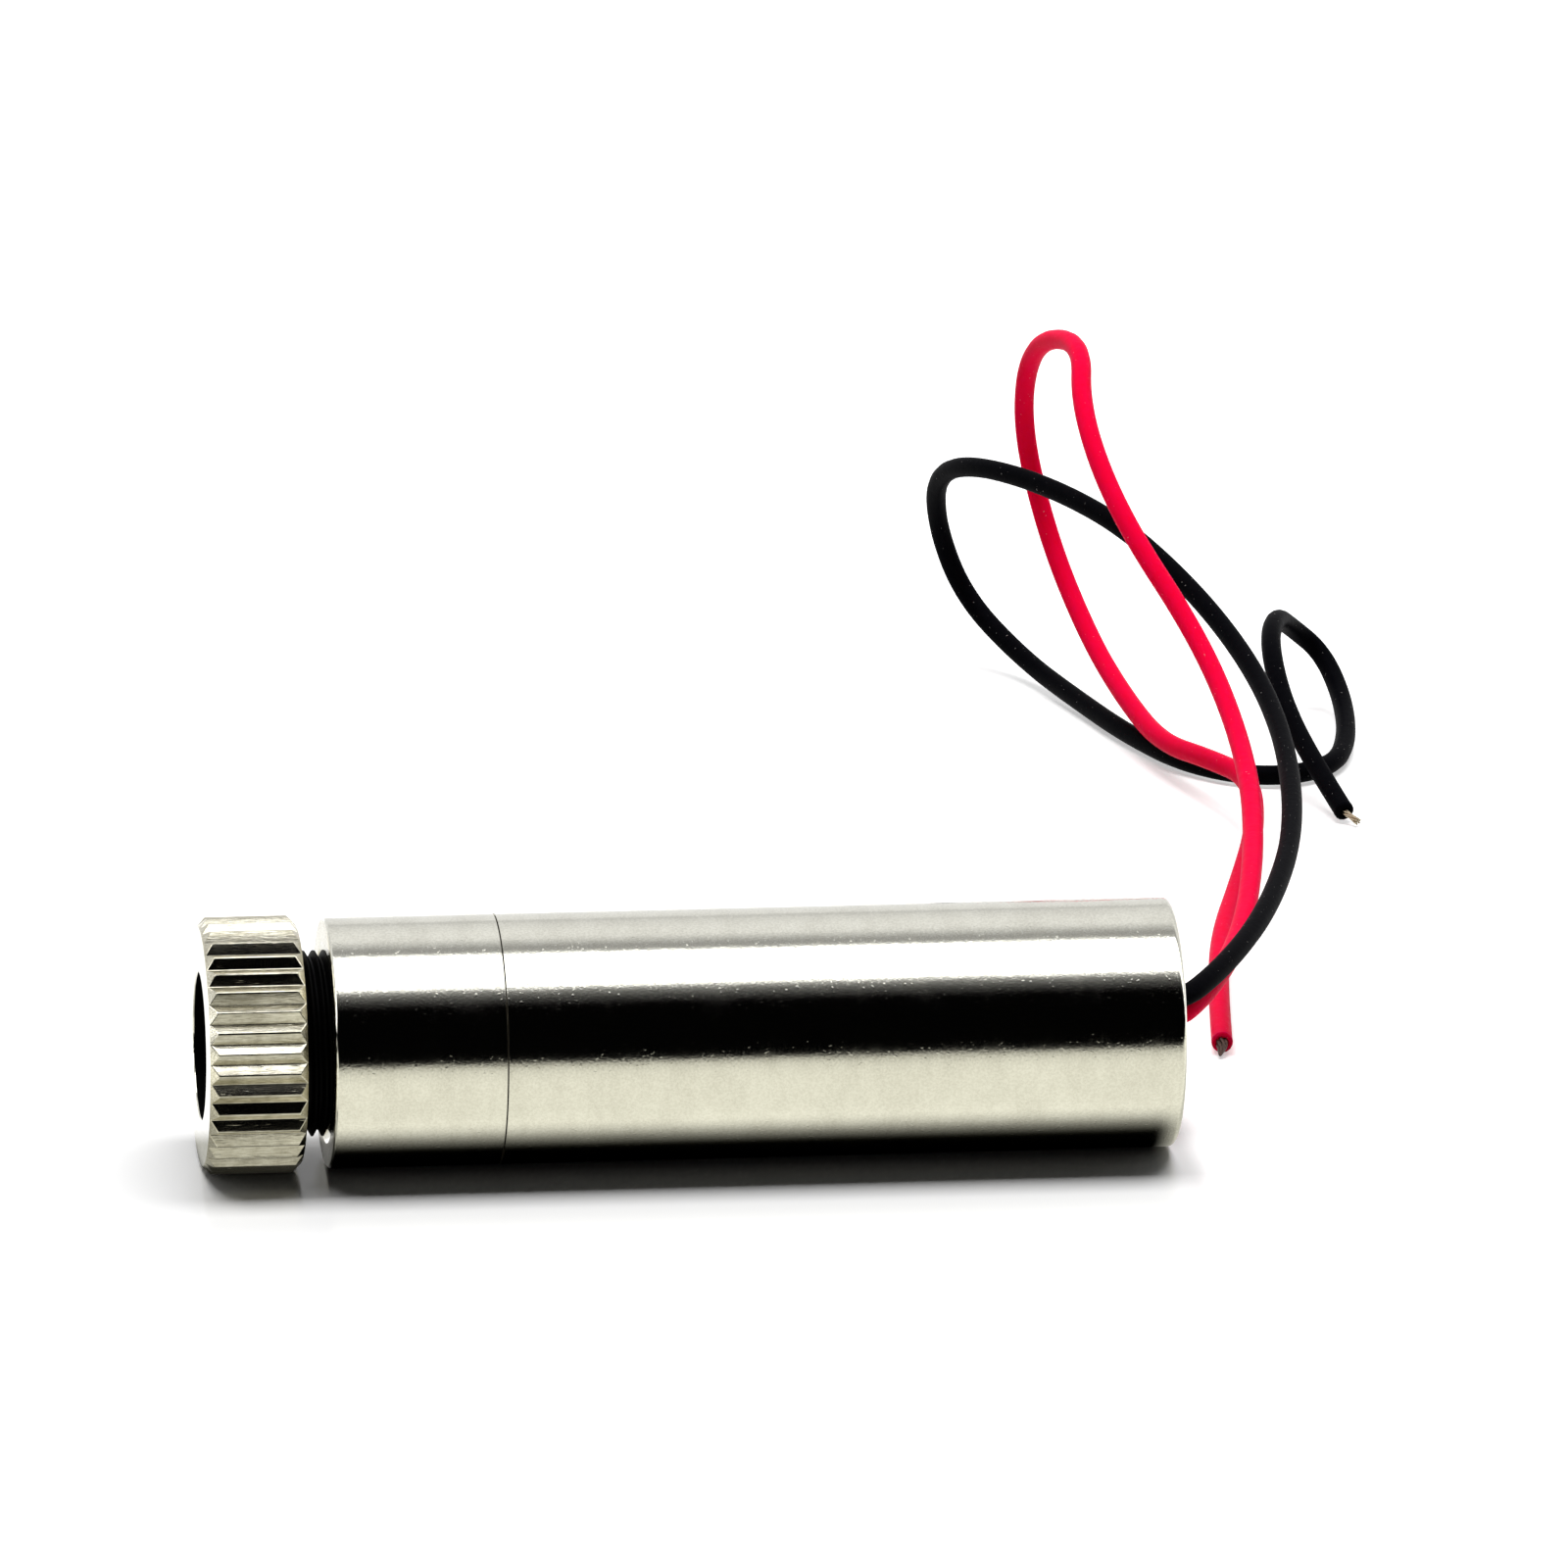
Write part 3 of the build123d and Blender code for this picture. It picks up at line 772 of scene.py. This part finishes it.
def potting(epoxy):
    """The potting that closes the rear, drawn up a little at the tube's wall and round the leads."""
    wall_rise, wall_reach = 0.3 * mm, 0.3 * mm
    lead_rise, lead_reach = 0.35 * mm, 0.22 * mm
    most_rise = 0.5 * mm
    rings = 26
    face = [(potting_rear_x, max(potting_radius * (1 - step / rings), pole)) for step in range(rings + 1)]
    outline = [(potting_front_x, pole), (potting_front_x, potting_radius), *face]
    piece = turned(outline, sides=120, closed=False)
    for vertex in piece.data.vertices:
        if vertex.co.x < potting_rear_x - tolerance:
            continue
        rise = wall_rise * exp(-(potting_radius - hypot(vertex.co.y, vertex.co.z)) / wall_reach)
        for lead_y, lead_z in (red_exit, black_exit):
            gap = max(hypot(vertex.co.y - lead_y, vertex.co.z - lead_z) - lead_radius, 0)
            rise += lead_rise * exp(-gap / lead_reach)
        vertex.co.x += min(rise, most_rise)
    piece.data.materials.append(epoxy)
    eased(piece, width=0.02 * mm, segments=1, angle=60, smooth=60)
    return finished(piece, "potting", "housing", "black_epoxy", "rear_potting")


def world_light():
    """The studio around the object: dark in front, a wide soft box above, a pale backdrop behind."""
    world = bpy.data.worlds.new("studio")
    world.use_nodes = True
    bpy.context.scene.world = world
    finish = Finish(world.node_tree, "ShaderNodeBackground", "ShaderNodeOutputWorld")
    way = finish.node("ShaderNodeTexCoord").outputs["Generated"]
    parts = finish.node("ShaderNodeSeparateXYZ", None, {0: way})
    height = finish.value(parts, "Z")
    toward = -1.0 * finish.value(parts, "Y")
    turn = finish.math("ARCTAN2", height, toward)
    brightest = 2.4
    # The levels that metal mirrors, by degrees up from the horizon in front, over the top and down behind
    degrees_and_levels = [
        (46, 0.0008), (51, 0.04), (56, 0.12), (61, 0.3), (65.5, 2.4), (98.5, 2.4), (102, 0.36),
        (108.5, 0.36), (121, 0.88), (132, 0.9), (148, 0.76), (153, 0.6), (157, 0.84), (180, 0.9),
    ]
    tones = [(degrees / 180, level / brightest) for degrees, level in degrees_and_levels]
    seen_in_metal = finish.tone(turn * (1 / pi), tones) * brightest
    room_in_front, room_behind = 0.03, 0.48
    soft = room_in_front + (room_behind - room_in_front) * finish.rise(turn, low=1.6, high=2.0)
    camera_ray, mirrored, unscattered = finish.rays()
    in_metal = mirrored * unscattered
    lit = (height > 0.0) * (seen_in_metal * in_metal + soft * (1 - in_metal))
    finish.set(Color=grey(1), Strength=lit * (1 - camera_ray) + camera_ray)


def soft_light():
    """The broad lamp overhead, a little behind the object."""
    centre_x, height, width = 0.08, 1.5, 1.3
    front_y, back_y = -0.125, 0.546
    radiance = 9.9
    lamp = bpy.data.lights.new("soft_light", "AREA")
    lamp.shape = "RECTANGLE"
    lamp.size = width
    lamp.size_y = back_y - front_y
    lamp.energy = radiance * pi * lamp.size * lamp.size_y
    light = bpy.data.objects.new("soft_light", lamp)
    bpy.context.collection.objects.link(light)
    light.location = (centre_x, (front_y + back_y) / 2, height)
    light.visible_camera = False
    light.visible_glossy = False


def painted_sheet_in_metal(finish, across, depth):
    """The glow that the table shows only to mirrored rays: a painted reflection of a pale sheet, with a
    painted contact shadow of the object in it.
    """
    head_front = (-26.7 * mm, -26.3 * mm)
    head_rear = (-21.8 * mm, -20.6 * mm)
    housing_rear = (19.4 * mm, 21 * mm)
    front_share, rear_share = 0.4, 0.65
    # Painted shadow: the glow fades to dark near the object, and is painted lit again past both ends of the
    # object
    clear = finish.fall(depth, low=-6.87 * mm, high=-3.73 * mm)
    ends = front_share * finish.fall(across, *head_front) + rear_share * finish.rise(across, *housing_rear)
    near = clear + (1 - clear) * ends
    # Painted shade and light under the head, as tones from 8 mm in front of the axis to the axis
    head_shade_depth = 8 * mm
    painted_tones_under_head = [
        (0.16, 0.68), (0.2, 0.5), (0.235, 0.13), (0.33, 0.15), (0.39, 0.62), (0.44, 0.6), (0.51, 0.38),
        (0.57, 0.27), (0.595, 0.03), (1.0, 0.012),
    ]
    painted_light_under_head = finish.tone(depth * (1 / head_shade_depth) + 1.0, painted_tones_under_head)
    under_head = finish.fall(across, *head_rear) * finish.rise(across, *head_front)
    light = near + under_head * (painted_light_under_head - near)
    # The painted glow fades to dark far in front, and is a plain white behind the object
    in_front = finish.rise(depth, low=-80 * mm, high=-12 * mm) * light
    sheet = finish.mixed(in_front, grey(0), (0.92, 0.91, 0.81, 1))
    return finish.mixed(finish.rise(depth, low=3.5 * mm, high=7 * mm), sheet, grey(1.05))


def object_shade(finish, across, depth):
    """1 round the object, where the camera sees its shadow, and 0 further off, where a painted glow makes the
    table plain white to the camera and washes out the shadows there.
    """
    behind = finish.rise(depth, low=7 * mm, high=30 * mm)
    ahead = finish.fall(depth, low=-20 * mm, high=-9 * mm)
    aside = finish.rise(across, low=20.6 * mm, high=22.5 * mm)
    return (1 - behind) * (1 - ahead) * (1 - aside)


def table_top():
    """The table: white to the camera, with a painted glow away from the object, and to the metal a painted
    reflection of a pale sheet with a painted contact shadow, ending in the dark in front.
    """
    bpy.ops.mesh.primitive_plane_add(size=8, location=(0, 0, -housing_radius))
    sheet = bpy.context.object
    sheet.name = "table_top"
    made, finish = material("table_top")
    camera_ray, mirrored, unscattered = finish.rays()
    place = finish.node("ShaderNodeSeparateXYZ", None, {0: finish.place()})
    across, depth = finish.value(place, "X"), finish.value(place, "Y")
    painted_in_metal = painted_sheet_in_metal(finish, across, depth)
    # Painted light: away from the object the table glows to the camera, which whitens the shadows cast there
    painted_light_lift = camera_ray * (1 - object_shade(finish, across, depth))
    painted_glow_to_camera = finish.mixed(painted_light_lift, grey(0), grey(0.45))
    # Painted shade: to mirrored rays the table is black under its painted glow, or a dark grey once something
    # matt has scattered them, and to matt rays a dimmer grey than the camera's white; this darkens the
    # object's shadow and the light bounced onto it
    painted_dark_in_metal = finish.mixed(unscattered, (0.2, 0.2, 0.19, 1), grey(0))
    painted_shade_unseen = finish.mixed(mirrored, (0.75, 0.75, 0.73, 1), painted_dark_in_metal)
    finish.set(
        Base_Color=finish.mixed(camera_ray, painted_shade_unseen, grey(1)),
        Roughness=0.2,
        Specular_IOR_Level=0.3,
        Emission_Color=finish.mixed(mirrored * unscattered, painted_glow_to_camera, painted_in_metal),
        Emission_Strength=1.0,
    )
    sheet.data.materials.append(made)


photo_camera()
red_skin = insulation("red_insulation", (1.0, 0.002, 0.06, 1), (1.0, 0.001, 0.035, 1),
                      roughness=0.35, sheen=0.008, glow_through=0.7)
black_skin = insulation("black_insulation", (0.001, 0.001, 0.002, 1), (0.004, 0.004, 0.005, 1),
                        roughness=0.4, sheen=0.005, glow_through=0.0)
red_cable = lead("red_cable", red_route, red_skin)
black_cable = lead("black_cable", black_route, black_skin)
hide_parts("red_lead")
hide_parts("black_lead")

plate = nickel("nickel_plate", (0.9, 0.89, 0.8, 1), (0.73, 0.715, 0.63, 1),
               roughness=0.07, stretch=(0.6, 0.6, 0.6), grain_depth=0.8, scratch_depth=0.6)
knurl_plate = nickel("knurl_nickel", (0.92, 0.89, 0.76, 1), (0.5, 0.47, 0.36, 1),
                     roughness=0.16, stretch=(0.12, 1, 1), grain_depth=1.2, scratch_depth=0.0)
grime = dielectric("seam_grime", (0.07, 0.055, 0.03, 1), (0.03, 0.025, 0.018, 1),
                   roughness=0.5, size=0.15 * mm, depth=0.002 * mm)
black = black_oxide("black_oxide")
brass = plain_metal("bare_brass", (0.76, 0.58, 0.29, 1), (0.68, 0.5, 0.24, 1), roughness=0.25, size=1.5 * mm)
gold = plain_metal("gold_plate", (0.9, 0.68, 0.32, 1), (0.82, 0.6, 0.27, 1), roughness=0.15, size=0.8 * mm)
can = plain_metal("can_metal", (0.62, 0.6, 0.56, 1), (0.5, 0.49, 0.47, 1), roughness=0.25, size=0.8 * mm)
steel = plain_metal("spring_steel", (0.5, 0.5, 0.5, 1), (0.4, 0.4, 0.41, 1), roughness=0.2, size=0.5 * mm)
tin = plain_metal("tinned_copper", (0.5, 0.46, 0.38, 1), (0.42, 0.32, 0.16, 1), roughness=0.3, size=0.3 * mm)
worn_copper = plain_metal("worn_copper", (0.14, 0.1, 0.085, 1), (0.06, 0.035, 0.03, 1),
                          roughness=0.45, size=0.12 * mm)
solder = plain_metal("solder", (0.7, 0.7, 0.7, 1), (0.55, 0.55, 0.56, 1), roughness=0.25, size=0.4 * mm)
glass = clear_glass("lens_glass", (0.9, 0.95, 0.97, 1), roughness=0.01)
seal = clear_glass("seal_glass", (0.1, 0.16, 0.13, 1), roughness=0.05)
ceramic = dielectric("submount_ceramic", (0.85, 0.84, 0.8, 1), (0.75, 0.74, 0.7, 1),
                     roughness=0.5, size=0.1 * mm, depth=0.005 * mm)
semiconductor = dielectric("semiconductor", (0.05, 0.05, 0.08, 1), (0.12, 0.1, 0.16, 1),
                           roughness=0.15, size=0.2 * mm, depth=0.001 * mm)
laminate = dielectric("green_laminate", (0.02, 0.22, 0.08, 1), (0.03, 0.3, 0.12, 1),
                      roughness=0.35, size=0.3 * mm, depth=0.01 * mm)
epoxy = dielectric("black_epoxy", (0.012, 0.012, 0.012, 1), (0.03, 0.03, 0.03, 1),
                   roughness=0.4, size=0.2 * mm, depth=0.01 * mm)
tan = dielectric("tan_ceramic", (0.5, 0.34, 0.2, 1), (0.6, 0.44, 0.28, 1),
                 roughness=0.4, size=0.2 * mm, depth=0.005 * mm)
film = dielectric("amber_film", (0.5, 0.25, 0.04, 1), (0.62, 0.36, 0.08, 1),
                  roughness=0.2, size=1.0 * mm, depth=0.005 * mm)

red_way = (-0.147, -0.989, 0)
black_way = (0.21, -0.9, -0.377)
red_rim = cut_rim("red_cut_rim", "red_insulation", red_skin, red_route[-1], red_way)
black_rim = cut_rim("black_cut_rim", "black_insulation", black_skin, black_route[-1], black_way)

# The strands' steps: place and spread in millimetres, turn in degrees, and share of the full thickness
red_strand_steps = [
    ((25.32, 15.1, -5.4), 0.24, 0, 1.0), ((25.3, 14.9, -5.42), 0.24, 20, 1.0),
    ((25.25, 14.65, -5.5), 0.2, 60, 1.0), ((25.17, 14.35, -5.64), 0.12, 100, 0.8),
    ((25.08, 14.05, -5.8), 0.03, 130, 0.5),
]
black_strand_steps = [
    ((38.05, 57.65, -5.33), 0.14, 0, 1.0), ((38.1, 57.4, -5.4), 0.14, 25, 1.0),
    ((38.22, 57.12, -5.47), 0.12, 60, 1.0), ((38.43, 56.8, -5.58), 0.105, 110, 1.0),
    ((38.66, 56.38, -5.7), 0.155, 160, 1.0),
]
red_strands = strands("red_strands", worn_copper, "red_conductor",
                      (0.5 * mm, -0.7 * mm), red_strand_steps, wire_radius=0.1 * mm)
black_strands = strands("black_strands", tin, "black_conductor",
                        (-0.4 * mm, 0.7 * mm), black_strand_steps, wire_radius=0.055 * mm)
front_ring(plate, grime, knurl_plate)
long_tube(plate, grime)
knurled_head(knurl_plate, plate, black)
lens(glass)
coil_spring(steel)
potting(epoxy)
cad_finish(brass, "lens_ring", "focus_washer", "diode_holder", "diode_clamp_ring")
cad_finish(gold, "diode_header", "diode_pins")
cad_finish(can, "diode_cap")
cad_finish(glass, "diode_window")
cad_finish(seal, "lead_seals")
cad_finish(ceramic, "chip_submount")
cad_finish(semiconductor, "laser_chip", "monitor_photodiode", "board_resistors")
cad_finish(laminate, "driver_board")
cad_finish(epoxy, "driver_chip", "protection_diode")
cad_finish(tan, "smoothing_capacitor")
cad_finish(solder, "solder_joints")
cad_finish(film, "insulating_sleeve")

table_top()
soft_light()
world_light()
bpy.context.scene.view_settings.view_transform = "Standard"
